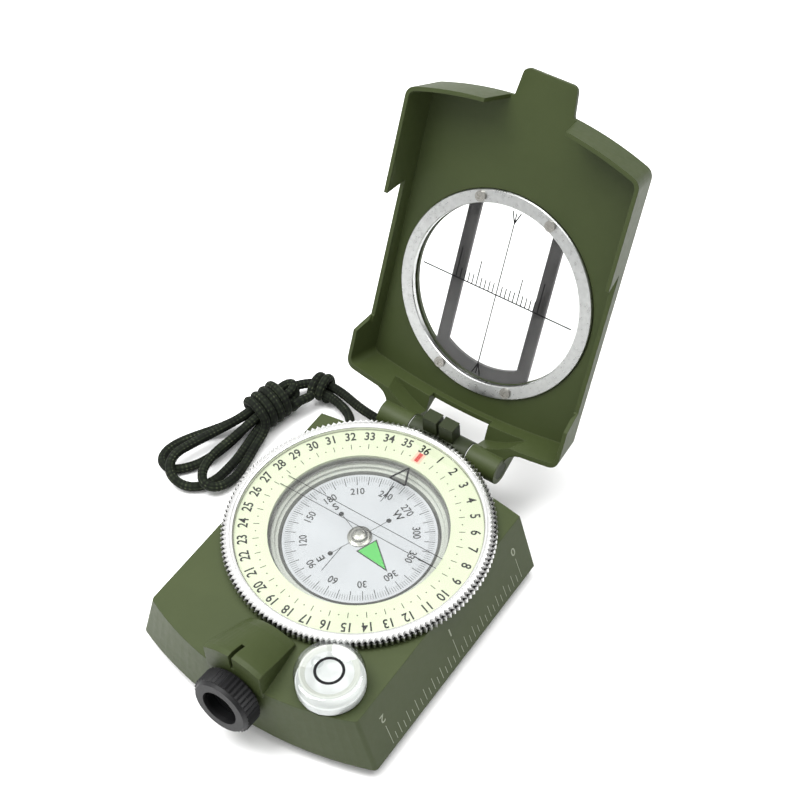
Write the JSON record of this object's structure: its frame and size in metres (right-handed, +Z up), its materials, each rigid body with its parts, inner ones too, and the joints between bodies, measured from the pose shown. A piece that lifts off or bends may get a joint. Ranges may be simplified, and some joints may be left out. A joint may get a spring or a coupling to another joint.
{
  "type": "sighting compass",
  "caption": "Folding sighting compass with a hinged lid and reticle lens, rotating bezel, floating card, focusing eyepiece, round level and wrist lanyard",
  "frame": {"origin": "mouth of the tripod socket in the base, under the centre of the bezel and card", "axes": "+Z up out of the dial, +Y towards the hinge, +X to the right as seen from the eyepiece; the lid is open"},
  "size_m": [0.095, 0.1312, 0.093],
  "materials": {
    "green_paint": "olive green baked enamel over a die casting, satin, fine orange peel",
    "dark_green_paint": "darker olive enamel, satin",
    "bezel_metal": "bright turned and knurled aluminium",
    "ring_metal": "turned aluminium, lightly brushed",
    "steel": "plated steel",
    "brass": "turned brass",
    "luminous": "pale luminous plastic with printed scale",
    "clear": "clear polished glass or acrylic",
    "card_white": "white printed disc",
    "white_plastic": "white moulded plastic",
    "black_plastic": "black ribbed plastic",
    "dark_grey": "dark grey moulded frame",
    "gasket": "black rubber",
    "cord": "braided camouflage cord, dark green, black and olive"
  },
  "bodies": {
    "case": {"base_housing": "green_paint", "bottom_cover": "dark_green_paint", "cover_screws": "steel", "tripod_bush": "brass", "capsule_bowl": "white_plastic", "capsule_screws": "steel", "pivot_post": "brass", "capsule_gasket": "gasket", "capsule_crystal": "clear", "level_base": "white_plastic", "level_vial": "clear", "eyepiece_tube": "black_plastic", "sight_prism": "clear", "prism_clip": "steel", "hinge_block": "dark_green_paint", "block_screws": "steel", "hinge_pin": "steel", "hinge_washers": "white_plastic", "lanyard_lug": "dark_green_paint", "lanyard_lead": "cord", "lanyard_knot": "cord", "lanyard_hank": "cord"},
    "card": {"dial_card": "card_white", "card_magnet": "steel", "jewel_cap": "steel"},
    "bezel": {"bezel_ring": "bezel_metal", "luminous_ring": "luminous", "bezel_glass": "clear", "bezel_snap_ring": "steel"},
    "focus": {"focus_ring": "black_plastic"},
    "eye_cell": {"lens_cell": "black_plastic", "eye_lens": "clear", "lens_retainer": "black_plastic"},
    "lid": {"lid_shell": "green_paint", "lid_lens": "clear", "lens_ring": "ring_metal", "lens_screws": "steel", "window_frame": "dark_grey"}
  },
  "joints": [
    {"name": "lid_hinge", "type": "hinge", "parent": "case", "child": "lid", "pos_m": [0, 0.0328, 0.0165], "axis": [-1, 0, 0], "range_deg": [-114, 64.5]},
    {"name": "bezel_turn", "type": "hinge", "parent": "case", "child": "bezel", "pos_m": [0, 0, 0.0187], "axis": [0, 0, 1], "continuous": true},
    {"name": "card_swing", "type": "hinge", "parent": "case", "child": "card", "pos_m": [0, 0, 0.0166], "axis": [0, 0, 1], "continuous": true},
    {"name": "focus_turn", "type": "hinge", "parent": "case", "child": "focus", "pos_m": [0, -0.045, 0.014], "axis": [0, -0.9945, 0.1045], "range_deg": [0, 270]},
    {"name": "focus_travel", "type": "slide", "parent": "case", "child": "eye_cell", "axis": [0, -0.9945, 0.1045], "range_m": [0, 0.0012]}
  ],
  "couplings": [
    {"joint": "focus_turn", "follows": "focus_travel", "rad_per_m": 3927}
  ]
}
